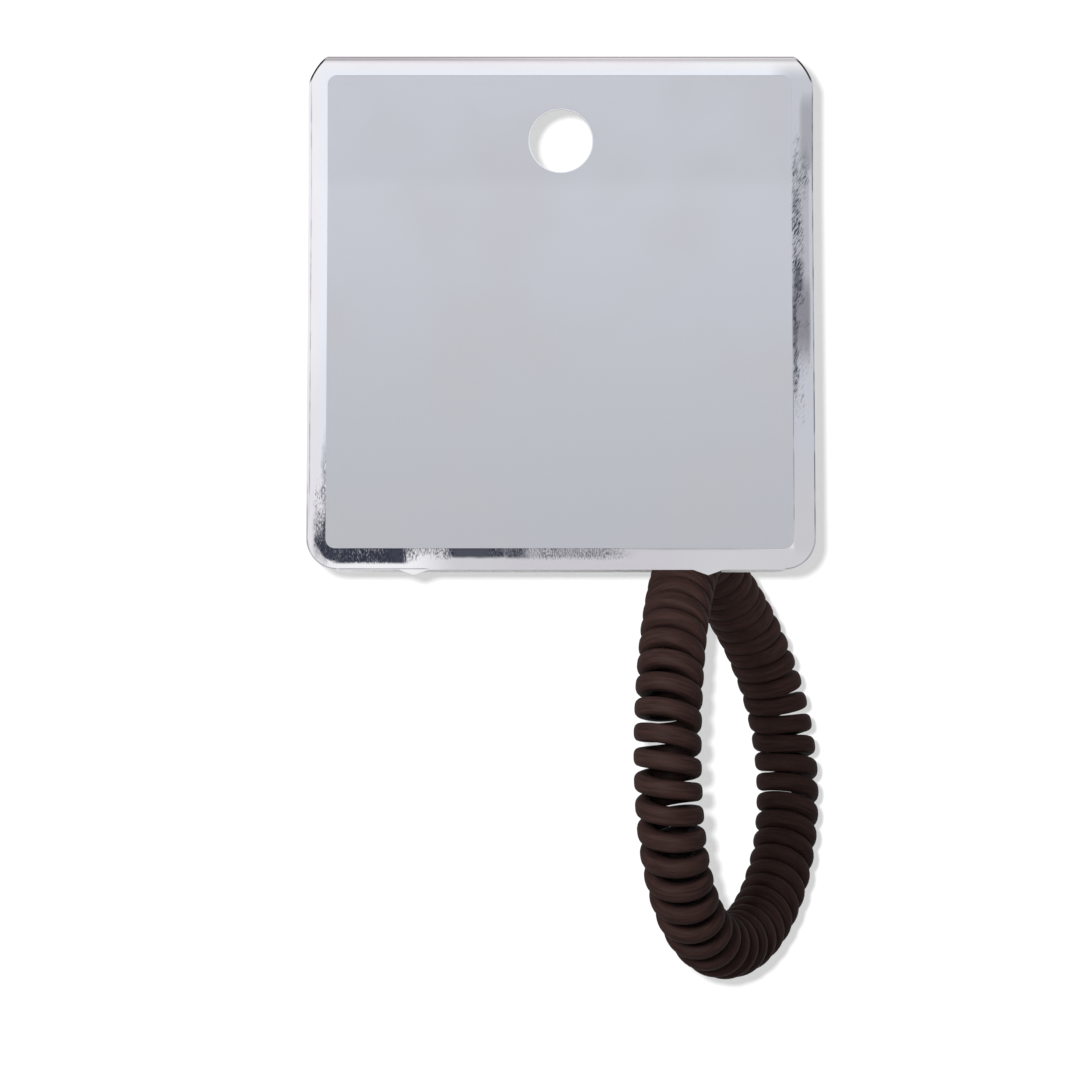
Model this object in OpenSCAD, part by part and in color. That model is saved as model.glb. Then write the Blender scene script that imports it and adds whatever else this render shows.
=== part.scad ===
// Spiral hair tie hanging on a folded foil card.
// Millimetres. Y points away from the viewer, Z points up, X runs along the card.
// The origin is the highest point of the hang hole's wall, halfway through the card's head.

/* [Card] */
// Width of the card
card_w = 76.2; // [70:0.1:90]
// Height of the card from the fold to the front leaf's lower edge
card_h = 77.5; // [72:0.1:84]
// Thickness of one leaf of the board
board_t = 0.5; // [0.4:0.05:0.7]
// Width that each upper corner's cut takes off
top_corner_w = 3; // [2:0.1:5]
// Height that each upper corner's cut takes off
top_corner_h = 4.4; // [2.5:0.1:6]
// Radius of the two lower corners
low_corner_r = 4.7; // [3:0.1:7]
// Height of the head, where both leaves lie together
head_h = 19; // [17:0.5:24]
// How far the front leaf's lower edge stands forward of the head
front_lean = 5.4; // [3:0.1:7]
// Diameter of the hang hole
hole_d = 9.5; // [7:0.1:10]
// Distance from the fold to the top of the hang hole
hole_drop = 8; // [6:0.1:9]
// Distance of the two pointed tips on the lower edge from the middle
tip_x = 22; // [16:0.5:26]
// How far each tip reaches below the lower edge
tip_drop = 0.8; // [0.4:0.1:1.2]
// Width of each tip where it leaves the edge
tip_w = 4.5; // [3:0.5:6]

/* [Printed panel] */
// Bare foil border at the sides of the panel
panel_side = 3.1; // [2:0.1:5]
// Sideways place of the middle of the panel
panel_x = -0.2; // [-0.4:0.1:0.4]
// Bare foil border above the panel
panel_top = 2.9; // [2:0.1:5]
// Bare foil border below the panel
panel_low = 3.2; // [2:0.1:5]
// Corner radius of the panel
panel_r = 1.4; // [0.5:0.1:3]
// Thickness of the panel
panel_t = 0.2; // [0.1:0.05:0.3]
// Foil rim left bare round the hang hole
hole_rim = 0.15; // [0.1:0.05:1]

/* [Hanging bar] */
// Distance between the front leaf and the bar at the lower edge
leaf_gap = 21.2; // [20.8:0.1:24]
// Height of the bar that the tie hangs from
bar_h = 4.6; // [4:0.1:6]
// How far the bar reaches below the front leaf
bar_drop = 0.6; // [0.2:0.1:1.2]
// Height of the slot above the bar
slot_h = 6; // [5.5:0.1:8]
// Length of the slot
slot_w = 51; // [46:0.5:54]
// Sideways place of the middle of the slot
slot_x = 2.4; // [0:0.1:4]
// Height of the upright foot of the back leaf, bar and slot included
foot_h = 15; // [13:0.5:22]

/* [Tie] */
// Outer diameter of the coil
coil_d = 10.1; // [9.4:0.1:10.2]
// Diameter of the elastic wire
wire_d = 2.7; // [2.4:0.05:2.75]
// Number of turns round the loop
turns = 50; // [44:1:50]
// Half height of the loop's centre line
loop_half_h = 28.8; // [28:0.1:34]
// Half depth of the loop's centre line, front to back
loop_half_d = 26; // [25:0.1:32]
// Half of the loop's sideways run, from its turn towards the viewer
loop_half_w = 10.2; // [8:0.1:12]
// Sideways place of the top of the loop on the bar
loop_x = 21.3; // [17:0.1:22]
// How far the top turn lifts the loop over the bar
top_rise = 2.9; // [2:0.1:5]
// Gap between the top turn and the bar
seat_gap = 0.6; // [0.5:0.05:0.8]

/* [Smoothness] */
// Steps in one turn of the coil
turn_steps = 12; // [10:1:16]
// Sides of the wire's section
wire_sides = 8; // [6:2:12]
// Fragments of full circles
round_fn = 64; // [32:8:128]

/* [Hidden] */

// Reach past a face that a cut needs
over = 1;

// How round the upper corners' cuts are: 1 is a straight cut, 2 a rounded one
corner_power = 1.35;
corner_steps = 8;

// Heights on the card
fold_z = hole_drop;
head_z = fold_z - head_h;
edge_z = fold_z - card_h;
bar_low_z = edge_z - bar_drop;
bar_top_z = bar_low_z + bar_h;
foot_z = bar_low_z + foot_h;

// Depths on the card, to the faces of the leaves
head_front_y = -board_t;
edge_front_y = head_front_y - front_lean;
bar_front_y = edge_front_y + board_t + leaf_gap;

// Bends that make an egg of the loop's plain ellipse, as shares of its half sizes.
// Columns: cos t, sin 2t, cos 2t. Rows: sideways, depth, height. t is 0 at the top and 90 at the far leg.
LOOP_BENDS = [
    [-0.26, -0.15, -0.095],
    [ 0.08, -0.07,  0.00],
    [ 1.00,  0.00, -0.065],
];
// How sharply the rise over the bar fades along the loop
rise_power = 24;

// Spacing of the turns round the loop. Columns: t, share of the mean spacing.
TURN_SPACING = [
    [  0, 1.80],
    [ 14, 1.30],
    [ 28, 0.88],
    [ 50, 0.88],
    [ 90, 0.97],
    [150, 1.01],
    [200, 1.15],
    [245, 0.98],
    [280, 0.98],
    [300, 0.90],
    [346, 0.85],
    [360, 1.80],
];

// Coil
wire_r = wire_d / 2;
helix_r = coil_d / 2 - wire_r;
// Widens the many-sided wire to the section area of the round one
side_angle = 360 / wire_sides;
section_r = wire_r * sqrt(PI / (wire_sides / 2 * sin(side_angle)));

// Place of the loop: its top turn bears on the bar, halfway through the bar's thickness
top_x_share = LOOP_BENDS[0][0] + LOOP_BENDS[0][2];
top_y_share = LOOP_BENDS[1][0] + LOOP_BENDS[1][2];
top_z_share = LOOP_BENDS[2][0] + LOOP_BENDS[2][2];
loop_top_z = bar_top_z + seat_gap + wire_r - helix_r;
loop_mid = [
    loop_x - loop_half_w * top_x_share,
    bar_front_y + board_t / 2 - loop_half_d * top_y_share,
    loop_top_z - loop_half_h * top_z_share - top_rise,
];
// Direction that the loop's hole looks along
loop_side = [loop_half_d, -loop_half_w, 0] / norm([loop_half_d, loop_half_w]);

function bend(row, t) =
    LOOP_BENDS[row][0] * cos(t) + LOOP_BENDS[row][1] * sin(2 * t) + LOOP_BENDS[row][2] * cos(2 * t);

function rise(t) = top_rise * pow((1 + cos(t)) / 2, rise_power);

// Point of the loop's centre line at t
function loop_point(t) = loop_mid + [
    loop_half_w * (sin(t) + bend(0, t)),
    loop_half_d * (sin(t) + bend(1, t)),
    loop_half_h * bend(2, t) + rise(t),
];

function unit(v) = v / norm(v);

function loop_dir(t) = unit(loop_point(t + 0.5) - loop_point(t - 0.5));

// Turns wound from the top up to each degree, before they are scaled to a whole number
RAW_TURNS = [
    for (
        t = 0, wound = 0;
        t <= 360;
        wound = wound + norm(loop_point(t + 1) - loop_point(t)) / lookup(t + 0.5, TURN_SPACING),
        t = t + 1
    ) [wound, t]
];
all_wound = RAW_TURNS[360][0];

// Place t along the loop where turn number n is reached
function turn_place(n) = lookup(n / turns * all_wound, RAW_TURNS);

// Middle of the wire after n turns. The winding is left-handed and starts at the top of the top turn.
function wire_point(n) =
    let (
        t = turn_place(n),
        along = loop_dir(t),
        out = unit(cross(loop_side, along)),
        side = cross(along, out)
    ) loop_point(t) + helix_r * (cos(360 * n) * out - sin(360 * n) * side);

module spiral_coil() {
    steps = turns * turn_steps;
    middles = [for (i = [0 : steps - 1]) wire_point(i / turn_steps)];
    function mid_at(i) = middles[(i + steps) % steps];
    points = [
        for (i = [0 : steps - 1])
            let (
                t = turn_place(i / turn_steps),
                along = unit(mid_at(i + 1) - mid_at(i - 1)),
                from_core = mid_at(i) - loop_point(t),
                side = unit(cross(along, from_core)),
                out = cross(side, along)
            )
            for (j = [0 : wire_sides - 1])
                let (a = (j + 0.5) * side_angle)
                mid_at(i) + section_r * (cos(a) * out + sin(a) * side)
    ];
    function corner(i, j) = (i % steps) * wire_sides + j % wire_sides;
    faces = [
        for (i = [0 : steps - 1], j = [0 : wire_sides - 1], half = [0, 1])
            half == 0
                ? [corner(i, j), corner(i + 1, j), corner(i + 1, j + 1)]
                : [corner(i, j), corner(i + 1, j + 1), corner(i, j + 1)]
    ];
    color([0.24, 0.18, 0.17])
        polyhedron(points = points, faces = faces);
}

// What rounding takes off a square corner at the drawing's origin. The outline lies towards dir.
module corner_waste(r, dir) {
    difference() {
        square(2 * r, center = true);
        translate(r * dir)
            circle(r = r, $fn = round_fn);
    }
}

// What the cut takes off an upper corner at the drawing's origin. The outline lies towards dir.
module corner_cut(dir) {
    curve = [
        for (k = [0 : corner_steps])
            let (a = 90 * k / corner_steps)
            [
                top_corner_w * (1 - pow(cos(a), 2 / corner_power)),
                top_corner_h * (1 - pow(sin(a), 2 / corner_power)),
            ]
    ];
    points = concat([[top_corner_w, -over], [-over, -over], [-over, top_corner_h]], curve);
    polygon([for (p = points) [p.x * dir.x, p.y * dir.y]]);
}

// Rectangle on the card's face between two heights, centred on x = 0
module plain_outline(width, top_z, low_z) {
    translate([-width / 2, low_z])
        square([width, top_z - low_z]);
}

// Outline of a leaf that reaches down to low_z
module leaf_outline(low_z) {
    difference() {
        plain_outline(card_w, fold_z, low_z);
        for (s = [-1, 1]) {
            translate([s * card_w / 2, fold_z])
                corner_cut([-s, -1]);
            translate([s * card_w / 2, low_z])
                corner_waste(low_corner_r, [-s, 1]);
        }
    }
}

module panel_outline() {
    width = card_w - 2 * panel_side;
    top_z = fold_z - panel_top;
    low_z = edge_z + panel_low;
    translate([panel_x, 0])
        difference() {
            plain_outline(width, top_z, low_z);
            for (s = [-1, 1]) {
                translate([s * width / 2, top_z])
                    corner_waste(panel_r, [-s, -1]);
                translate([s * width / 2, low_z])
                    corner_waste(panel_r, [-s, 1]);
            }
        }
}

// Turns a drawing in x and z into a solid that runs far in front of and behind the card
module through_card() {
    rotate([90, 0, 0])
        linear_extrude(height = 4 * leaf_gap, center = true)
            children();
}

// Turns a drawing in y and z into a solid as wide as the card and more
module along_card() {
    rotate([90, 0, 90])
        linear_extrude(height = card_w + 2 * over, center = true)
            children();
}

// Side view of the front leaf's face, carried out to a thickness towards +Y or -Y
function front_strip(thick) =
    let (low_z = edge_z - tip_drop - over, low_y = edge_front_y - front_lean * (edge_z - low_z) / (head_z - edge_z))
    [
        [head_front_y, fold_z + over],
        [head_front_y, head_z],
        [low_y, low_z],
        [low_y + thick, low_z],
        [head_front_y + thick, head_z],
        [head_front_y + thick, fold_z + over],
    ];

// Side view of the back leaf: head, sloping run and upright foot
function back_strip() = [
    [0, fold_z + over],
    [board_t, fold_z + over],
    [board_t, head_z],
    [bar_front_y + board_t, foot_z],
    [bar_front_y + board_t, bar_low_z - over],
    [bar_front_y, bar_low_z - over],
    [bar_front_y, foot_z],
    [0, head_z],
];

module front_outline() {
    leaf_outline(edge_z);
    for (s = [-1, 1])
        polygon([
            [s * tip_x - tip_w / 2, edge_z + tip_drop],
            [s * tip_x - tip_w / 2, edge_z],
            [s * tip_x, edge_z - tip_drop],
            [s * tip_x + tip_w / 2, edge_z],
            [s * tip_x + tip_w / 2, edge_z + tip_drop],
        ]);
}

module hang_hole(d) {
    translate([0, 0, -hole_d / 2])
        rotate([90, 0, 0])
            cylinder(d = d, h = 4 * board_t + 2 * over, center = true, $fn = round_fn);
}

module hang_card() {
    color([0.80, 0.80, 0.84])
        difference() {
            union() {
                intersection() {
                    along_card() polygon(front_strip(board_t));
                    through_card() front_outline();
                }
                intersection() {
                    along_card() polygon(back_strip());
                    through_card() leaf_outline(bar_low_z);
                }
            }
            hang_hole(hole_d);
            translate([slot_x - slot_w / 2, 0, bar_top_z])
                cube([slot_w, 2 * leaf_gap, slot_h]);
        }
}

module printed_panel() {
    color([0.75, 0.76, 0.79])
        difference() {
            intersection() {
                along_card() polygon(front_strip(-panel_t));
                through_card() panel_outline();
            }
            hang_hole(hole_d + 2 * hole_rim);
        }
}

spiral_coil();
hang_card();
printed_panel();
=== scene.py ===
"""Dark brown spiral hair tie hanging on a plain folded foil card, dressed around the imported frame."""
import math

import bmesh
import bpy
import numpy as np
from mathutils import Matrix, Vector


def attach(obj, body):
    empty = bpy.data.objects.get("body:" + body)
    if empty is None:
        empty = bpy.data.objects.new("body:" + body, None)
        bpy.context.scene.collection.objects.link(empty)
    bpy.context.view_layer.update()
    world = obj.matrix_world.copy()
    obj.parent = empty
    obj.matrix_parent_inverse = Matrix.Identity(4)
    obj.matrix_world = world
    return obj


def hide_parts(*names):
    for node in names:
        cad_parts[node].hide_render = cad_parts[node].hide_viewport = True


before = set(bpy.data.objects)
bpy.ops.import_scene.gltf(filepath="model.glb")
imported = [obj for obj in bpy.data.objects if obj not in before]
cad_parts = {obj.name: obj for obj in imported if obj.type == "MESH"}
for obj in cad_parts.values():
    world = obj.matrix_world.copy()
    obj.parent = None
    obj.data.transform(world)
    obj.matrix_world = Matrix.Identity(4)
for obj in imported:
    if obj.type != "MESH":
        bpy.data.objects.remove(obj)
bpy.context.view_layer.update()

MM = 0.001

# Sizes of the card, in millimetres, as in the part's source
CARD_W = 76.2
CARD_H = 77.5
BOARD_T = 0.5
TOP_CORNER_W = 3.0
TOP_CORNER_H = 4.4
CORNER_POWER = 1.35
LOW_CORNER_R = 4.7
HEAD_H = 19.0
FRONT_LEAN = 5.4
HOLE_D = 9.5
HOLE_DROP = 8.0
TIP_X = 22.0
TIP_DROP = 0.8
TIP_W = 4.5
PANEL_SIDE = 3.1
PANEL_X = -0.2
PANEL_TOP = 2.9
PANEL_LOW = 3.2
PANEL_R = 1.4
PANEL_T = 0.2
HOLE_RIM = 0.15
LEAF_GAP = 21.2
BAR_H = 4.6
BAR_DROP = 0.6
SLOT_H = 6.0
SLOT_W = 51.0
SLOT_X = 2.4
FOOT_H = 15.0

# Heights and depths that follow from them
FOLD_Z = HOLE_DROP
HEAD_Z = FOLD_Z - HEAD_H
CUT_Z = FOLD_Z - TOP_CORNER_H
EDGE_Z = FOLD_Z - CARD_H
BAR_LOW_Z = EDGE_Z - BAR_DROP
BAR_TOP_Z = BAR_LOW_Z + BAR_H
FOOT_Z = BAR_LOW_Z + FOOT_H
HEAD_FRONT_Y = -BOARD_T
EDGE_FRONT_Y = HEAD_FRONT_Y - FRONT_LEAN
BAR_FRONT_Y = EDGE_FRONT_Y + BOARD_T + LEAF_GAP

# Finish of the board that the source leaves out, and the mesh's grid. Each leaf is thinner inside
# by the slack, so that their inner faces don't touch at the head
CREASE = 1.2
BOARD_EDGE = 0.07
PANEL_EDGE = 0.06
BOARD_SLACK = 0.015
SIDE_BOW = 0.30
BACK_BOW = 0.25
WAVE = 0.10
GRID = 3.0
CREASE_GRID = 0.4
CORNER_GRID = 0.16
FOLD_GRID = 0.13
WELD = 1e-4

# Sizes of the tie, in millimetres, as in the part's source
COIL_D = 10.1
WIRE_D = 2.7
TURNS = 50
LOOP_HALF = np.array([10.2, 26.0, 28.8])
LOOP_X = 21.3
TOP_RISE = 2.9
SEAT_GAP = 0.6
RISE_POWER = 24
# Columns: cos t, sin 2t, cos 2t. Rows: sideways, depth, height
LOOP_BENDS = np.array([
    [-0.26, -0.15, -0.095],
    [0.08, -0.07, 0.00],
    [1.00, 0.00, -0.065],
])
# Columns: t in degrees, share of the mean spacing of the turns
TURN_SPACING = np.array([
    [0, 1.80], [14, 1.30], [28, 0.88], [50, 0.88], [90, 0.97], [150, 1.01],
    [200, 1.15], [245, 0.98], [280, 0.98], [300, 0.90], [346, 0.85], [360, 1.80],
])

# Finish of the wire that the source leaves out, with its mesh's steps a turn and sides of the section
COIL_STEPS = 44
COIL_SIDES = 24
TURN_CLEARANCE = 0.05
NARROWEST = 0.94 * WIRE_D
# Columns: t in degrees, squareness of the wire's section (2 is round)
WIRE_SQUARE = np.array([
    [0, 2.6], [40, 3.0], [100, 3.0], [130, 2.3], [215, 2.3], [245, 3.0], [330, 3.0], [360, 2.6],
])
# Columns: t in degrees, width of the wire along the loop, where it is a little flattened
WIRE_WIDTH = np.array([
    [0, 2.84], [85, 2.84], [100, 2.94], [150, 2.94], [200, 2.78], [330, 2.78], [360, 2.84],
])

# Colours, as screen values from 0 to 255
RUBBER_DEEP = (27, 17, 15)
RUBBER_PALE = (39, 26, 24)
RUBBER_CLOUD = (36, 24, 22)
# Painted shade for the wire's inner side
RUBBER_INSIDE_SHADE = (11, 6, 6)
FOIL_WARM = (243, 241, 247)
FOIL_COOL = (249, 249, 252)
FOIL_BLUISH = (238, 244, 254)
# Painted shade on the rounded fold
FOIL_FOLD_SHADE = (196, 192, 195)
FOIL_FOLD_BACK_SHADE = (140, 136, 139)
FOIL_FOLD_LEFT_SHADE = (128, 124, 127)
# Painted reflections on the foil: grey areas, dark areas, and dark rims along the corner cuts
FOIL_GREY_REFLECTION = (132, 130, 138)
FOIL_DARK_REFLECTION = (52, 56, 70)
FOIL_RIM_REFLECTION = (30, 30, 36)
PLAIN_BOARD = ((225, 225, 226), (236, 236, 236))
BOARD_CORE = ((206, 202, 200), (222, 219, 216))
# Painted shade at the panel's foot
PANEL_FOOT_SHADE = (178, 180, 187)
PANEL_HEAD = (190, 193, 201)
PANEL_CLOUD = (181, 181, 185)
PANEL_TOP_LINE = (174, 176, 184)
FLOOR_TONE = (235, 235, 236)
WALL_TONE = (150, 150, 150)

# Areas of painted reflection and painted shade on the front leaf's foil, in millimetres across and above its
# lower edge.
# Columns: x from, x to, height from, height to, softness across, softness up, strength
GREY_REFLECTION_AREAS = [
    (34.7, 40.0, -1.0, 72.0, 0.4, 5.0, 0.46),
    (-19.0, 40.0, -1.0, 3.4, 4.0, 0.6, 0.40),
    (32.8, 40.0, 59.0, 75.6, 2.0, 1.8, 0.46),
    (35.7, 40.0, 58.5, 73.0, 1.0, 4.0, 0.72),
    (34.7, 37.7, 26.0, 66.0, 0.5, 9.0, 0.62),
    (34.7, 37.7, 30.0, 46.0, 0.5, 6.0, 0.92),
    (-40.0, -34.9, -1.0, 33.0, 0.3, 9.0, 0.12),
    (-37.3, -34.9, 1.0, 9.0, 0.6, 3.0, 0.30),
]
# Painted shade: fine dark lines along the card's edges and the panel's edges
EDGE_SHADE_LINES = [
    (37.92, 38.07, 2.0, 72.0, 0.05, 2.0, 0.72),
    (-37.74, -37.58, 10.0, 72.0, 0.05, 4.0, 0.42),
    (-38.04, -37.88, 4.0, 12.0, 0.05, 2.0, 0.50),
    (-33.4, -20.0, 0.05, 0.22, 0.6, 0.05, 0.50),
    (34.78, 34.94, 6.0, 42.0, 0.05, 3.0, 0.50),
    (-8.0, 28.0, 2.90, 3.20, 6.0, 0.05, 0.30),
]
# Painted dark reflections
DARK_REFLECTION_AREAS = [
    (-34.0, -22.9, 0.95, 3.7, 1.0, 0.30, 0.92),
    (-24.5, -21.4, 1.5, 3.7, 1.8, 0.70, 0.55),
    (-36.9, -34.9, 2.5, 8.0, 0.4, 3.5, 0.56),
    (-35.8, -34.9, 2.0, 9.0, 0.4, 4.0, 0.80),
    (-35.8, -34.9, 6.0, 20.0, 0.4, 6.0, 0.44),
    (-23.0, -17.0, 2.2, 3.7, 1.8, 0.6, 0.36),
    (-17.2, -8.2, 1.75, 3.7, 0.9, 0.35, 0.84),
    (-9.5, -4.5, 1.7, 3.6, 2.5, 0.40, 0.78),
    (-6.0, 9.5, 1.7, 3.6, 4.5, 0.45, 0.44),
    (34.9, 37.5, 57.5, 64.0, 0.4, 2.5, 0.28),
    (34.9, 36.3, 49.5, 58.0, 0.5, 2.5, 0.38),
    (34.9, 36.5, 41.0, 48.0, 0.6, 2.5, 0.64),
    (34.9, 35.6, 26.0, 42.0, 0.3, 4.0, 0.56),
]
# Here the strength says how much the grain breaks the painted dark reflections up
BROKEN_AREAS = [
    (-35.5, -26.0, 0.8, 3.9, 1.5, 0.4, 0.60),
    (-37.0, -34.7, 2.0, 13.0, 0.3, 2.5, 0.78),
    (-35.4, -34.9, 2.0, 17.5, 0.15, 2.0, 0.70),
    (-23.4, -16.6, 1.4, 3.9, 1.2, 0.5, 0.80),
    (-10.5, -4.5, 1.4, 3.7, 1.8, 0.4, 0.50),
    (-6.5, 9.5, 1.4, 3.7, 3.0, 0.4, 0.58),
    (34.8, 37.3, 55.0, 62.0, 0.3, 2.0, 0.70),
    (34.8, 36.0, 60.0, 66.5, 0.3, 1.5, 0.56),
    (34.8, 36.6, 22.0, 60.0, 0.4, 4.0, 0.84),
    (34.8, 37.6, 28.0, 46.0, 0.3, 3.0, 0.56),
    (33.6, 37.6, 60.0, 74.0, 1.0, 2.0, 0.15),
]


# Node trees

class Graph:
    """Short calls for building a node tree."""

    def __init__(self, tree):
        self.tree = tree

    def put(self, socket, value):
        """Links an input to another node's output, or sets its own value."""
        if isinstance(value, bpy.types.NodeSocket):
            self.tree.links.new(value, socket)
        else:
            socket.default_value = value

    def new(self, kind, **given):
        """New node. A key is a setting, the name of an input, or i and the number of an input."""
        n = self.tree.nodes.new("ShaderNode" + kind)
        settings = [key for key in given if hasattr(n, key)]
        for key in settings:
            setattr(n, key, given[key])
        for key, value in given.items():
            if key not in settings:
                place = int(key[1:]) if key[0] == "i" and key[1:].isdigit() else key.replace("_", " ")
                self.put(n.inputs[place], value)
        return n

    def node(self, kind, out=0, **given):
        """One output of a new node."""
        return self.new(kind, **given).outputs[out]

    def split(self, vector):
        """The three parts of a vector."""
        return list(self.new("SeparateXYZ", i0=vector).outputs)

    def math(self, operation, a, b=0.0):
        return self.node("Math", operation=operation, i0=a, i1=b)

    def times(self, value, *factors):
        """Product of two or more values."""
        for factor in factors:
            value = self.math("MULTIPLY", value, factor)
        return value

    def ramp(self, value, low, high, to_low=0.0, to_high=1.0):
        """Smooth change between two numbers as a value goes from low to high."""
        return self.node(
            "MapRange", interpolation_type="SMOOTHSTEP", i0=value, i1=low, i2=high, i3=to_low, i4=to_high
        )

    def noise(self, vector, scale, detail=2.0, roughness=0.5):
        return self.node("TexNoise", Vector=vector, Scale=scale, Detail=detail, Roughness=roughness)

    def mix(self, share, a, b):
        """Colour a, or b where the share is 1."""
        return self.node("Mix", out=2, data_type="RGBA", i0=share, i6=a, i7=b)

    def bump(self, height, strength, distance, **normal):
        return self.node("Bump", Height=height, Strength=strength, Distance=distance, **normal)


class MaterialGraph(Graph):
    """Node tree of a new material with one principled shader."""

    def __init__(self, name):
        self.material = bpy.data.materials.new(name)
        self.material.use_nodes = True
        super().__init__(self.material.node_tree)
        self.tree.nodes.clear()
        self.output = self.new("OutputMaterial")
        self.shader = self.new("BsdfPrincipled")
        self.put(self.output.inputs["Surface"], self.shader.outputs[0])

    def set(self, **given):
        """Sets or links inputs of the shader."""
        for key, value in given.items():
            self.put(self.shader.inputs[key.replace("_", " ")], value)

    def object_place(self):
        """The object's own coordinates, in metres."""
        return self.node("TexCoord", out=3)

    def millimetres(self, place):
        """The three parts of a place, in millimetres."""
        return [self.times(part, 1 / MM) for part in self.split(place)]


def srgb(tone):
    """Linear colour of a screen colour given from 0 to 255."""
    shares = [v / 255 for v in tone]
    return (*[v / 12.92 if v <= 0.04045 else ((v + 0.055) / 1.055) ** 2.4 for v in shares], 1.0)


# Materials of the tie and the board

def rubber_material():
    """Soft-touch elastic with fine streaks along the wire, and painted shade darker towards the inside of the
    coil.
    """
    g = MaterialGraph("soft_touch_elastic")
    place = g.node("Attribute", out=1, attribute_name="wire_place")
    drawn_out = g.node("Mapping", Vector=place, Scale=(1.0, 1.0, 0.10))
    streaks = g.noise(drawn_out, 2.6, detail=4.0, roughness=0.62)
    cloud = g.noise(place, 0.35)
    grain = g.noise(place, 14.0)
    outward = g.split(place)[0]
    tone = g.mix(g.ramp(streaks, 0.36, 0.64), srgb(RUBBER_DEEP), srgb(RUBBER_PALE))
    tone = g.mix(g.ramp(cloud, 0.4, 0.7, 0.0, 0.35), tone, srgb(RUBBER_CLOUD))
    # Painted shade: darker on the wire's inner side, where the gaps between the turns lie in shade
    tone = g.mix(g.ramp(outward, -0.6, 0.75, 0.7, 0.0), tone, srgb(RUBBER_INSIDE_SHADE))
    fine = g.bump(grain, 0.25, 0.00002)
    lines = g.bump(streaks, 0.6, 0.00005, Normal=fine)
    rough = g.ramp(streaks, 0.3, 0.7, 0.56, 0.70)
    g.set(Base_Color=tone, Roughness=rough, Normal=lines, Specular_IOR_Level=0.03)
    return g.material


def board_material(name, tones, roughness):
    """Uncoated board with fine fibres."""
    g = MaterialGraph(name)
    coord = g.object_place()
    fibre = g.noise(coord, 1500.0, detail=4.0, roughness=0.6)
    cloud = g.noise(coord, 120.0)
    tone = g.mix(g.ramp(fibre, 0.35, 0.65), srgb(tones[0]), srgb(tones[1]))
    tone = g.mix(g.ramp(cloud, 0.4, 0.7, 0.0, 0.25), tone, srgb(tones[0]))
    g.set(Base_Color=tone, Roughness=roughness, Normal=g.bump(fibre, 0.3, 0.00003), Specular_IOR_Level=0.3)
    return g.material


def panel_material():
    """Matte grey print, with painted shade a little darker towards its foot, and darker along its top edge.
    """
    g = MaterialGraph("printed_grey")
    coord = g.object_place()
    z = g.times(g.split(coord)[2], 1 / MM)
    top = FOLD_Z - PANEL_TOP
    # Painted shade: darker towards the panel's foot
    tone = g.mix(g.ramp(z, EDGE_Z - 0.5, FOLD_Z - 4.0), srgb(PANEL_FOOT_SHADE), srgb(PANEL_HEAD))
    cloud = g.noise(coord, 45.0)
    tone = g.mix(g.ramp(cloud, 0.42, 0.66, 0.0, 0.35), tone, srgb(PANEL_CLOUD))
    tone = g.mix(g.ramp(z, top - 0.20, top - 0.08, 0.0, 0.8), tone, srgb(PANEL_TOP_LINE))
    fibre = g.noise(coord, 2600.0, detail=3.0)
    rough = g.ramp(fibre, 0.3, 0.7, 0.40, 0.48)
    g.set(Base_Color=tone, Roughness=rough, Normal=g.bump(fibre, 0.12, 0.00002), Specular_IOR_Level=0.3)
    return g.material


# Foil: bright metal with painted grey and dark reflections that the grain breaks up. All its places are in
# millimetres

def soft_area(g, at, row):
    """How strong one soft-edged area of a table is at a place."""
    x, z = at
    x0, x1, up0, up1, edge_x, edge_z, strength = row
    z0 = EDGE_Z + up0
    z1 = EDGE_Z + up1
    across = g.times(g.ramp(x, x0 - edge_x, x0 + edge_x), g.ramp(x, x1 - edge_x, x1 + edge_x, 1.0, 0.0))
    upward = g.times(g.ramp(z, z0 - edge_z, z0 + edge_z), g.ramp(z, z1 - edge_z, z1 + edge_z, 1.0, 0.0))
    return g.times(across, upward, strength)


def strongest(g, at, table):
    """The strongest area of a table at a place."""
    field = soft_area(g, at, table[0])
    for row in table[1:]:
        field = g.math("MAXIMUM", field, soft_area(g, at, row))
    return field


def lower_corners(g, x, z, wander):
    """Round the lower corners: a painted dark reflection inside the left one, and a painted shade line along
    both edges.
    """
    from_x = g.math("SUBTRACT", g.math("ABSOLUTE", x), CARD_W / 2 - LOW_CORNER_R)
    from_z = g.math("SUBTRACT", z, EDGE_Z + LOW_CORNER_R)
    from_mid = g.math("SQRT", g.math("ADD", g.times(from_x, from_x), g.times(from_z, from_z)))
    soft_mid = g.math("ADD", from_mid, g.times(wander, 0.7))
    inside = g.times(
        g.ramp(soft_mid, LOW_CORNER_R - 1.5, LOW_CORNER_R - 1.0, 0.92, 0.0),
        g.ramp(x, -25.0, -20.0, 1.0, 0.0), g.ramp(from_z, -1.2, 3.2, 1.0, 0.0),
    )
    line = g.times(
        g.ramp(from_mid, LOW_CORNER_R - 0.10, LOW_CORNER_R - 0.02, 0.55, 0.0),
        g.ramp(from_mid, LOW_CORNER_R - 0.28, LOW_CORNER_R - 0.20),
        g.ramp(from_x, 0.0, 0.2), g.ramp(from_z, -0.2, 0.0, 1.0, 0.0),
    )
    return inside, line


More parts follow.
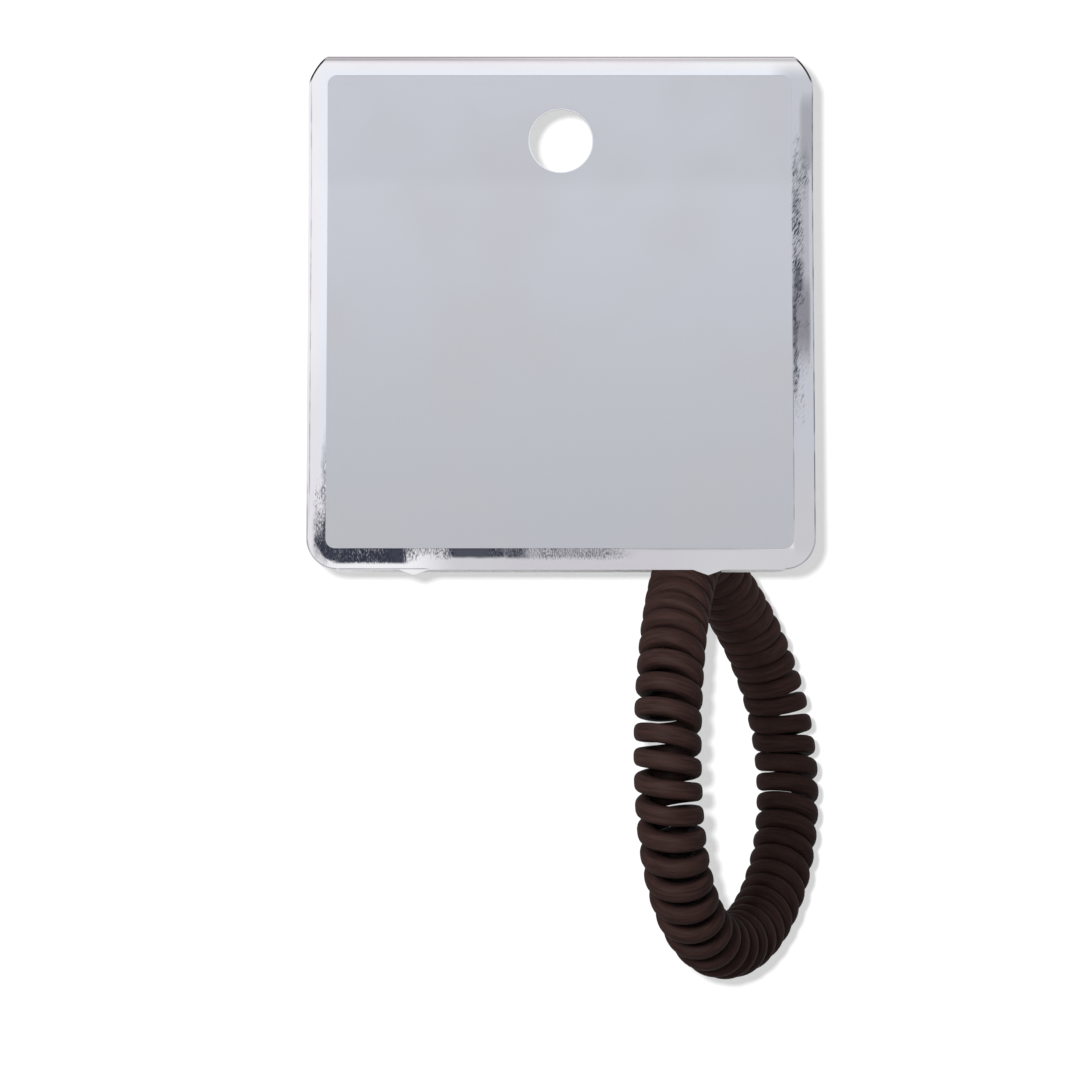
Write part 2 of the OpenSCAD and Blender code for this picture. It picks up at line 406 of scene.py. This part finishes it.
def cut_rim_reflection(g, x, z):
    """Painted dark reflection along the cuts of the upper corners."""
    far_x = g.math("SUBTRACT", g.math("ABSOLUTE", x), CARD_W / 2 - TOP_CORNER_W)
    far_x = g.math("MAXIMUM", g.math("DIVIDE", far_x, TOP_CORNER_W), 0.0)
    far_z = g.math("SUBTRACT", z, CUT_Z)
    far_z = g.math("MAXIMUM", g.math("DIVIDE", far_z, TOP_CORNER_H), 0.0)
    outward = g.math("ADD", g.math("POWER", far_x, CORNER_POWER), g.math("POWER", far_z, CORNER_POWER))
    return g.times(g.ramp(outward, 0.85, 0.92), g.ramp(far_x, 0.06, 0.30), g.ramp(far_z, 0.03, 0.25))


def foil_grit(g, coord, x):
    """Fine grain: slanted on the card's right side and upright elsewhere."""
    turned = g.node("Mapping", Vector=coord, Rotation=(0.0, -0.50, 0.0))
    slanted = g.noise(g.node("Mapping", Vector=turned, Scale=(2.2, 1.0, 0.45)), 2900.0, roughness=0.55)
    upright = g.noise(g.node("Mapping", Vector=coord, Scale=(1.9, 1.0, 0.62)), 3500.0, roughness=0.55)
    return g.math(
        "ADD", g.times(slanted, g.ramp(x, 30.0, 34.0)), g.times(upright, g.ramp(x, 30.0, 34.0, 1.0, 0.0))
    )


def foil_base_tone(g, coord, x, z):
    """Colour of the foil under its painted reflections: warm at the left edge and the foot, bluish elsewhere,
    and painted shade grey at the fold.
    """
    tone = g.mix(g.ramp(g.noise(coord, 38.0), 0.35, 0.65), srgb(FOIL_WARM), srgb(FOIL_COOL))
    bluish = g.times(
        g.ramp(x, -37.0, -35.5), g.ramp(z, FOLD_Z - 1.2, FOLD_Z - 2.8),
        g.ramp(z, EDGE_Z + 7.5, EDGE_Z + 19.5), 0.8,
    )
    tone = g.mix(bluish, tone, srgb(FOIL_BLUISH))
    # Painted shade on the rounded fold, deepest at its top and on its left
    tone = g.mix(g.ramp(z, FOLD_Z - 1.20, FOLD_Z - 0.50), tone, srgb(FOIL_FOLD_SHADE))
    tone = g.mix(g.ramp(z, FOLD_Z - 0.38, FOLD_Z - 0.12), tone, srgb(FOIL_FOLD_BACK_SHADE))
    on_left = g.times(g.ramp(z, FOLD_Z - 0.80, FOLD_Z - 0.45), g.ramp(x, -30.0, 10.0, 0.5, 0.0))
    return g.mix(on_left, tone, srgb(FOIL_FOLD_LEFT_SHADE))


def foil_material():
    """Bright foil with painted reflections and painted shade, most of them on the front leaf only."""
    g = MaterialGraph("foil_board")
    coord = g.object_place()
    x, y, z = g.millimetres(coord)
    wander = g.times(g.math("SUBTRACT", g.noise(coord, 520.0, detail=3.0), 0.5), 1.2)
    soft_at = (g.math("ADD", x, wander), g.math("ADD", z, g.times(wander, 0.35)))
    inside, corner_line = lower_corners(g, x, z, wander)
    # Painted dark reflections, with the grain swinging them lighter and darker in clumps
    dark = g.math("MAXIMUM", strongest(g, soft_at, DARK_REFLECTION_AREAS), inside)
    broken = strongest(g, soft_at, BROKEN_AREAS)
    grit = foil_grit(g, coord, x)
    clumps = g.ramp(g.noise(coord, 300.0), 0.38, 0.60, 0.60, 1.25)
    swing = g.times(g.math("SUBTRACT", grit, 0.47), 3.2, broken, clumps)
    shade = g.ramp(g.math("ADD", dark, swing), 0.0, 1.0)
    shade = g.times(shade, g.ramp(g.math("ADD", dark, broken), 0.02, 0.25))
    # Painted shade lines along the edges, broken into dashes
    lines = g.math("MAXIMUM", strongest(g, (x, z), EDGE_SHADE_LINES), corner_line)
    dashes = g.noise(g.node("Mapping", Vector=coord, Scale=(0.2, 1.0, 1.0)), 300.0, detail=3.0)
    lines = g.times(lines, g.ramp(dashes, 0.36, 0.58, 0.45, 1.1))
    front = g.ramp(y, 0.0, 0.6, 1.0, 0.0)
    shade = g.times(g.math("MAXIMUM", shade, lines), front)
    # Painted grey reflection, then the painted dark reflections and shade lines, then the painted dark rims
    # of the corner cuts
    grey = g.times(strongest(g, (x, z), GREY_REFLECTION_AREAS), front)
    metal = g.mix(grey, foil_base_tone(g, coord, x, z), srgb(FOIL_GREY_REFLECTION))
    metal = g.mix(shade, metal, srgb(FOIL_DARK_REFLECTION))
    metal = g.mix(cut_rim_reflection(g, x, z), metal, srgb(FOIL_RIM_REFLECTION))
    crinkle = g.bump(grit, g.math("ADD", g.times(broken, 0.35), 0.02), 0.00004)
    waves = g.bump(g.noise(coord, 70.0), 0.06, 0.0006, Normal=crinkle)
    dull_fold = g.ramp(z, FOLD_Z - 1.15, FOLD_Z - 0.70, 0.0, 0.42)
    rough = g.math("ADD", g.ramp(shade, 0.0, 1.0, 0.22, 0.34), dull_fold)
    g.set(Base_Color=metal, Metallic=0.94, Roughness=rough, Normal=waves)
    return g.material


# The tie

def new_piece(name, mesh, materials):
    obj = bpy.data.objects.new(name, mesh)
    bpy.context.scene.collection.objects.link(obj)
    for m in materials:
        obj.data.materials.append(m)
    return obj


def unit(v):
    return v / np.linalg.norm(v, axis=-1, keepdims=True)


WIRE_R = WIRE_D / 2
HELIX_R = COIL_D / 2 - WIRE_R
TOP_SHARE = LOOP_BENDS[:, 0] + LOOP_BENDS[:, 2]
LOOP_TOP = np.array([
    LOOP_X, BAR_FRONT_Y + BOARD_T / 2, BAR_TOP_Z + SEAT_GAP + WIRE_R - HELIX_R - TOP_RISE,
])
LOOP_MID = LOOP_TOP - LOOP_HALF * TOP_SHARE
LOOP_SIDE = unit(np.array([LOOP_HALF[1], -LOOP_HALF[0], 0.0]))


def loop_bend(row, t):
    share = LOOP_BENDS[row]
    return share[0] * np.cos(t) + share[1] * np.sin(2 * t) + share[2] * np.cos(2 * t)


def loop_point(degrees):
    """Point of the loop's centre line; 0 is the top and 90 the far leg."""
    t = np.radians(degrees)
    rise = TOP_RISE * ((1 + np.cos(t)) / 2) ** RISE_POWER
    return LOOP_MID + np.stack([
        LOOP_HALF[0] * (np.sin(t) + loop_bend(0, t)),
        LOOP_HALF[1] * (np.sin(t) + loop_bend(1, t)),
        LOOP_HALF[2] * loop_bend(2, t) + rise,
    ], axis=-1)


def turn_places(numbers):
    """Places round the loop where the given turn numbers are reached."""
    t = np.arange(0.0, 361.0)
    lengths = np.linalg.norm(loop_point(t + 1) - loop_point(t), axis=1)
    wound = lengths / np.interp(t + 0.5, TURN_SPACING[:, 0], TURN_SPACING[:, 1])
    wound = np.concatenate([[0.0], np.cumsum(wound)])[:361]
    return np.interp(numbers / TURNS * wound[360], wound, t)


def wire_course():
    """Places round the loop, the loop's centre line there, and the middle of the wire wound round it."""
    numbers = np.arange(TURNS * COIL_STEPS) / COIL_STEPS
    t = turn_places(numbers)
    core = loop_point(t)
    along = unit(loop_point(t + 0.5) - loop_point(t - 0.5))
    out = unit(np.cross(LOOP_SIDE, along))
    side = np.cross(along, out)
    turn = (2 * np.pi * numbers)[:, None]
    return t, core, core + HELIX_R * (np.cos(turn) * out - np.sin(turn) * side)


def wire_widths(t, middle):
    """Width of the wire along the loop, kept clear of the turns beside it."""
    to_next = np.linalg.norm(np.roll(middle, -COIL_STEPS, axis=0) - middle, axis=1)
    room = np.minimum(to_next, np.roll(to_next, COIL_STEPS)) - TURN_CLEARANCE
    width = np.minimum(room, np.interp(t, WIRE_WIDTH[:, 0], WIRE_WIDTH[:, 1]))
    return np.maximum(width, NARROWEST)


def ring_faces(rings, sides):
    """Faces of a tube whose last ring joins its first."""
    i = np.repeat(np.arange(rings), sides)
    j = np.tile(np.arange(sides), rings)
    next_i = (i + 1) % rings
    next_j = (j + 1) % sides
    return np.stack([
        i * sides + j, next_i * sides + j, next_i * sides + next_j, i * sides + next_j,
    ], axis=1)


def coil_mesh():
    """The wire wound round the loop, as one closed mesh with its own coordinates for the material."""
    t, core, middle = wire_course()
    along = unit(np.roll(middle, -1, axis=0) - np.roll(middle, 1, axis=0))
    wire_side = unit(np.cross(along, middle - core))
    wire_out = np.cross(wire_side, along)
    angles = 2 * np.pi * (np.arange(COIL_SIDES) + 0.5) / COIL_SIDES
    power = np.interp(t, WIRE_SQUARE[:, 0], WIRE_SQUARE[:, 1])[:, None]
    blunt = (np.abs(np.cos(angles)) ** power + np.abs(np.sin(angles)) ** power) ** (-1 / power)
    half_width = wire_widths(t, middle)[:, None, None] / 2
    rise = WIRE_R * (blunt * np.cos(angles))[:, :, None] * wire_out[:, None, :]
    spread = half_width * (blunt * np.sin(angles))[:, :, None] * wire_side[:, None, :]
    points = (middle[:, None, :] + rise + spread).reshape(-1, 3) * MM
    travelled = np.concatenate([[0.0], np.cumsum(np.linalg.norm(np.diff(middle, axis=0), axis=1))])
    place = np.stack([
        np.tile(WIRE_R * np.cos(angles), len(t)),
        np.tile(WIRE_R * np.sin(angles), len(t)),
        np.repeat(travelled, COIL_SIDES),
    ], axis=1)
    mesh = bpy.data.meshes.new("spiral_wire")
    mesh.from_pydata(points.tolist(), [], ring_faces(len(t), COIL_SIDES).tolist())
    attribute = mesh.attributes.new("wire_place", "FLOAT_VECTOR", "POINT")
    attribute.data.foreach_set("vector", place.astype(np.float32).ravel())
    mesh.shade_smooth()
    mesh.update()
    return mesh


# The card is one strip: s runs up the front leaf, over the fold and down the back leaf
ARC = math.pi * BOARD_T
HEAD_RUN = FOLD_Z - BOARD_T - HEAD_Z
FRONT_RUN = math.hypot(HEAD_Z - EDGE_Z, FRONT_LEAN)
BACK_RUN = math.hypot(HEAD_Z - FOOT_Z, BAR_FRONT_Y)
S_HEAD = FRONT_RUN
S_FOLD = S_HEAD + HEAD_RUN
S_BACK = S_FOLD + ARC
S_SLOPE = S_BACK + HEAD_RUN
S_FOOT = S_SLOPE + BACK_RUN
S_END = S_FOOT + FOOT_H


def front_s(z):
    """Place on the strip of a height on the front leaf."""
    if z >= HEAD_Z:
        return S_HEAD + z - HEAD_Z
    return S_HEAD - (HEAD_Z - z) * FRONT_RUN / (HEAD_Z - EDGE_Z)


def back_s(z):
    """Place on the strip of a height on the back leaf."""
    if z >= HEAD_Z:
        return S_SLOPE - (z - HEAD_Z)
    if z >= FOOT_Z:
        return S_SLOPE + (HEAD_Z - z) * BACK_RUN / (HEAD_Z - FOOT_Z)
    return S_FOOT + FOOT_Z - z


def strip_line(s):
    """Outer face of the card, as depth and height, with sharp creases."""
    if s <= S_HEAD:
        share = (S_HEAD - s) / FRONT_RUN
        return (HEAD_FRONT_Y - FRONT_LEAN * share, HEAD_Z - (HEAD_Z - EDGE_Z) * share)
    if s <= S_FOLD:
        return (HEAD_FRONT_Y, HEAD_Z + s - S_HEAD)
    if s <= S_BACK:
        a = math.pi * (s - S_FOLD) / ARC
        return (-BOARD_T * math.cos(a), FOLD_Z - BOARD_T + BOARD_T * math.sin(a))
    if s <= S_SLOPE:
        return (BOARD_T, FOLD_Z - BOARD_T - (s - S_BACK))
    if s <= S_FOOT:
        share = (s - S_SLOPE) / BACK_RUN
        return (BOARD_T + BAR_FRONT_Y * share, HEAD_Z - (HEAD_Z - FOOT_Z) * share)
    return (BOARD_T + BAR_FRONT_Y, FOOT_Z - (s - S_FOOT))


def card_line(s):
    """The same with each crease rounded a little."""
    for crease in (S_HEAD, S_SLOPE, S_FOOT):
        if abs(s - crease) < CREASE:
            a = strip_line(crease - CREASE)
            m = strip_line(crease)
            b = strip_line(crease + CREASE)
            u = (s - crease + CREASE) / (2 * CREASE)
            return tuple((1 - u) ** 2 * a[k] + 2 * u * (1 - u) * m[k] + u * u * b[k] for k in (0, 1))
    return strip_line(s)


def bow(x, s):
    """How far the board has warped, in millimetres along its depth."""
    across = (x / (CARD_W / 2)) ** 2
    if s <= S_HEAD:
        down = (S_HEAD - s) / FRONT_RUN
        return -SIDE_BOW * across * down + WAVE * math.sin(5.0 * down + 0.06 * x) * down * (1.2 - down)
    if s >= S_SLOPE:
        down = min(1.0, (s - S_SLOPE) / BACK_RUN)
        return BACK_BOW * across * down
    return 0.0


def card_place(x, s):
    y, z = card_line(s)
    return (x, y + bow(x, s), z)


def panel_place(x, s):
    x, y, z = card_place(x, s)
    return (x, y - PANEL_T, z)


# Outlines of the flat sheets

def corner(mid_x, mid_s, r, start, steps=14):
    """Quarter circle of an outline, anticlockwise from a start angle in degrees."""
    angles = [math.radians(start + 90 * k / steps) for k in range(steps + 1)]
    return [(mid_x + r * math.cos(a), mid_s + r * math.sin(a)) for a in angles]


def circle(mid_s, r, steps=72):
    """Circle of an outline, on the card's middle line."""
    angles = [2 * math.pi * k / steps for k in range(steps)]
    return [(r * math.cos(a), mid_s + r * math.sin(a)) for a in angles]


def evenly(low, high, step):
    count = max(1, round((high - low) / step))
    return [low + (high - low) * k / count for k in range(count + 1)]


def crease_lines(s):
    return evenly(s - CREASE, s + CREASE, CREASE_GRID)


def half_width_at(z):
    """Half the card's width at a height, less the cuts of the upper corners."""
    share = min(1.0, max(0.0, (z - CUT_Z) / TOP_CORNER_H))
    return CARD_W / 2 - TOP_CORNER_W * (1 - (1 - share ** CORNER_POWER) ** (1 / CORNER_POWER))


def card_outlines():
    """The board laid flat: its edge, the hang hole in each leaf, and the slot."""
    low_x = CARD_W / 2 - LOW_CORNER_R
    right = corner(low_x, LOW_CORNER_R, LOW_CORNER_R, -90)
    right += [(half_width_at(card_line(s)[1]), s) for s in evenly(front_s(CUT_Z), back_s(CUT_Z), CORNER_GRID)]
    right += corner(low_x, S_END - LOW_CORNER_R, LOW_CORNER_R, 0)
    left = [(-x, s) for x, s in reversed(right)]
    tips = []
    for x in (-TIP_X, TIP_X):
        tips += [(x - TIP_W / 2, 0.0), (x, -TIP_DROP), (x + TIP_W / 2, 0.0)]
    holes = [circle(leaf_s(-HOLE_D / 2), HOLE_D / 2) for leaf_s in (front_s, back_s)]
    slot_left = SLOT_X - SLOT_W / 2
    slot_right = SLOT_X + SLOT_W / 2
    low = back_s(BAR_TOP_Z)
    high = back_s(BAR_TOP_Z + SLOT_H)
    slot = [(slot_left, high), (slot_right, high), (slot_right, low), (slot_left, low)]
    return [right + left + tips, *holes, slot]


def panel_outlines():
    """The printed panel laid flat: its edge and its hole."""
    corner_x = CARD_W / 2 - PANEL_SIDE - PANEL_R
    top = front_s(FOLD_Z - PANEL_TOP)
    low = front_s(EDGE_Z + PANEL_LOW)
    right = corner(corner_x, low + PANEL_R, PANEL_R, -90, 8) + corner(corner_x, top - PANEL_R, PANEL_R, 0, 8)
    left = [(-x, s) for x, s in reversed(right)]
    outer = [(PANEL_X + x, s) for x, s in right + left]
    return [outer, circle(front_s(-HOLE_D / 2), HOLE_D / 2 + HOLE_RIM)]


def sheet_mesh(name, outlines, lines_x, lines_s, place):
    """Flat drawing filled between its outlines, cut along grid lines and laid in space by place(x, s)."""
    bm = bmesh.new()
    edges = []
    for outline in outlines:
        verts = [bm.verts.new((x, s, 0.0)) for x, s in outline]
        edges += [bm.edges.new((verts[k - 1], verts[k])) for k in range(len(verts))]
    bmesh.ops.triangle_fill(bm, edges=edges, use_beauty=True, use_dissolve=False)
    for normal, values in ((Vector((1.0, 0.0, 0.0)), lines_x), (Vector((0.0, 1.0, 0.0)), lines_s)):
        for value in values:
            bmesh.ops.bisect_plane(
                bm, geom=bm.verts[:] + bm.edges[:] + bm.faces[:], dist=WELD, plane_co=normal * value,
                plane_no=normal,
            )
    bmesh.ops.remove_doubles(bm, verts=bm.verts[:], dist=WELD)
    bmesh.ops.recalc_face_normals(bm, faces=bm.faces[:])
    if sum(f.normal.z for f in bm.faces) < 0:
        bmesh.ops.reverse_faces(bm, faces=bm.faces[:])
    for v in bm.verts:
        v.co = Vector(place(v.co.x, v.co.y)) * MM
    mesh = bpy.data.meshes.new(name)
    bm.to_mesh(mesh)
    bm.free()
    mesh.shade_smooth()
    return mesh


def thicken(obj, thickness, rim, edge):
    """Gives a sheet its thickness and eased edges. Its back takes the next material."""
    solid = obj.modifiers.new("thickness", "SOLIDIFY")
    solid.thickness = thickness * MM
    solid.offset = -1.0
    solid.use_even_offset = True
    solid.material_offset = 1 if len(obj.data.materials) > 1 else 0
    solid.material_offset_rim = rim
    ease = obj.modifiers.new("edges", "BEVEL")
    ease.width = edge * MM
    ease.segments = 2
    ease.limit_method = "ANGLE"
    ease.angle_limit = math.radians(50)
    ease.harden_normals = True
    shown = obj.evaluated_get(bpy.context.evaluated_depsgraph_get())
    mesh = bpy.data.meshes.new_from_object(shown)
    obj.modifiers.clear()
    obj.data = mesh


# Pieces

def add_tie():
    """The wire of the tie."""
    wire = new_piece("coil_wire", coil_mesh(), [rubber_material()])
    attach(wire, "root")
    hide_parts("spiral_coil")
    return wire


def add_card():
    """The folded board: foil outside, plain inside, and its core on the cut edges."""
    lines_s = evenly(1.0, S_FOLD - 0.5, GRID) + evenly(S_FOLD, S_BACK, FOLD_GRID)
    lines_s += evenly(S_BACK + 0.5, S_END - 1.0, GRID)
    for s in (S_HEAD, S_SLOPE, S_FOOT):
        lines_s += crease_lines(s)
    foil = foil_material()
    plain = board_material("plain_board", PLAIN_BOARD, 0.75)
    core = board_material("board_core", BOARD_CORE, 0.9)
    mesh = sheet_mesh("card_board", card_outlines(), evenly(-36, 36, GRID), lines_s, card_place)
    card = new_piece("card_board", mesh, [foil, plain, core])
    thicken(card, BOARD_T - BOARD_SLACK, 2, BOARD_EDGE)
    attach(card, "root")
    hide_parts("hang_card")
    return card


def add_panel():
    """The printed panel on the front leaf."""
    lines_s = evenly(5.0, S_FOLD - 2.0, GRID) + crease_lines(S_HEAD)
    mesh = sheet_mesh("grey_panel", panel_outlines(), evenly(-34, 34, GRID), lines_s, panel_place)
    panel = new_piece("grey_panel", mesh, [panel_material()])
    thicken(panel, PANEL_T, 0, PANEL_EDGE)
    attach(panel, "root")
    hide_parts("printed_panel")
    return panel


wire = add_tie()
card = add_card()
panel = add_panel()


# Camera, looking level along +Y. Its lens is given as the focal length in pixels of the square picture

CAMERA_AT = Vector((-3.14, -505.9, -65.07)) * MM
FOCAL_PIXELS = 3346.5
PICTURE_PIXELS = 1080


def add_camera():
    data = bpy.data.cameras.new("camera")
    data.sensor_width = 36.0
    data.lens = data.sensor_width * FOCAL_PIXELS / PICTURE_PIXELS
    data.clip_start = 0.01
    camera = bpy.data.objects.new("camera", data)
    camera.location = CAMERA_AT
    camera.rotation_euler = (math.radians(90), 0.0, 0.0)
    bpy.context.scene.collection.objects.link(camera)
    bpy.context.scene.camera = camera


add_camera()


# Stage: a floor far below and a white sheet close behind, which can be seen from its front only

WALL_Y = 80 * MM
WALL_HALF = 420 * MM
WALL_GLOW = 0.42
FLOOR_Z = -330 * MM
FLOOR_HALF = 2500 * MM


def square(half):
    return [(-half, -half), (half, -half), (half, half), (-half, half)]


def stage_sheet(name, points, tone, glow=0.0, see_through_back=False):
    """Flat sheet of paper for the stage."""
    mesh = bpy.data.meshes.new(name)
    mesh.from_pydata(points, [], [tuple(range(len(points)))])
    g = MaterialGraph(name + "_paper")
    grain = g.noise(g.object_place(), 900.0)
    low = srgb([v - 2 for v in tone])
    g.set(
        Base_Color=g.mix(g.ramp(grain, 0.3, 0.7), low, srgb(tone)), Roughness=0.9, Specular_IOR_Level=0.1,
        Emission_Color=(1.0, 1.0, 1.0, 1.0), Emission_Strength=glow,
    )
    if see_through_back:
        from_behind = g.node("NewGeometry", out=6)
        clear = g.node("BsdfTransparent")
        mixed = g.node("MixShader", i0=from_behind, i1=g.shader.outputs[0], i2=clear)
        g.put(g.output.inputs["Surface"], mixed)
    obj = new_piece(name, mesh, [g.material])
    return obj


stage_sheet("floor", [(x, y, FLOOR_Z) for x, y in square(FLOOR_HALF)], FLOOR_TONE)
wall_points = [(x, WALL_Y, z) for x, z in square(WALL_HALF)]
wall = stage_sheet("backdrop", wall_points, WALL_TONE, glow=WALL_GLOW, see_through_back=True)


# Light: an even room, keys for the card and the tie, and a small lamp that draws the shadow on the sheet

MIDDLE = Vector((0.0, 10.0, -60.0)) * MM
FAR_LEG_TOP = Vector((29.0, 20.0, -73.0)) * MM
# Strength of the room's light below and above, and the share of it that is left at the sides
ROOM_LOW = 0.35
ROOM_HIGH = 0.92
ROOM_SIDE = 0.55


def room():
    """World light: even in front and above, darker towards the sides and the floor."""
    world = bpy.data.worlds.new("room")
    world.use_nodes = True
    g = Graph(world.node_tree)
    across, _, up = g.split(g.node("TexCoord", out=0))
    from_height = g.ramp(up, -0.75, -0.12, ROOM_LOW, ROOM_HIGH)
    from_side = g.ramp(g.math("ABSOLUTE", across), 0.5, 0.95, 1.0, ROOM_SIDE)
    background = g.tree.nodes["Background"]
    g.put(background.inputs["Color"], (1.0, 1.0, 1.0, 1.0))
    g.put(background.inputs["Strength"], g.times(from_height, from_side))
    bpy.context.scene.world = world


def pieces_list(name, pieces):
    """Collection that names the pieces that a lamp lights, or that cast its shadows."""
    collection = bpy.data.collections.new(name)
    for piece in pieces:
        collection.objects.link(piece)
    return collection


def add_lamp(data, at, aim, power, lit, blockers=()):
    """Aimed lamp that lights only some pieces. With blockers, only they cast its shadows."""
    data.energy = power
    obj = bpy.data.objects.new(data.name, data)
    obj.location = at
    obj.rotation_euler = (aim - at).to_track_quat("-Z", "Y").to_euler()
    bpy.context.scene.collection.objects.link(obj)
    obj.light_linking.receiver_collection = pieces_list(data.name + "_lights", lit)
    if blockers:
        obj.light_linking.blocker_collection = pieces_list(data.name + "_blocks", blockers)


def area_lamp(name, shape, size):
    """Flat lamp with a size in millimetres."""
    data = bpy.data.lights.new(name, "AREA")
    data.shape = shape
    data.size = size * MM
    return data


def spot_lamp(name, size, cone):
    """Spot lamp with a size in millimetres and a cone in degrees."""
    data = bpy.data.lights.new(name, "SPOT")
    data.shadow_soft_size = size * MM
    data.spot_size = math.radians(cone)
    data.spot_blend = 1.0
    return data


room()
card_key = area_lamp("card_key", "SQUARE", size=450.0)
tie_key = area_lamp("tie_key", "SQUARE", size=80.0)
tie_top = spot_lamp("tie_top", size=20.0, cone=6.0)
shadow_lamp = area_lamp("shadow_lamp", "DISK", size=8.0)
card_key_at = MIDDLE + Vector((-300.0, -620.0, 980.0)) * MM
tie_key_at = MIDDLE + Vector((-85.0, -250.0, 25.0)) * MM
tie_top_at = Vector((110.0, -235.0, -30.0)) * MM
shadow_lamp_at = CAMERA_AT + Vector((-11.2, 0.0, 8.8)) * MM
add_lamp(card_key, card_key_at, MIDDLE, power=7.0, lit=[card, panel])
add_lamp(tie_key, tie_key_at, MIDDLE, power=1.38, lit=[wire], blockers=[wire])
add_lamp(tie_top, tie_top_at, FAR_LEG_TOP, power=8.0, lit=[wire], blockers=[wire])
add_lamp(shadow_lamp, shadow_lamp_at, MIDDLE, power=5.0, lit=[wall])

view = bpy.context.scene.view_settings
view.view_transform = "Standard"
view.look = "None"
view.exposure = 0.0
view.gamma = 1.0
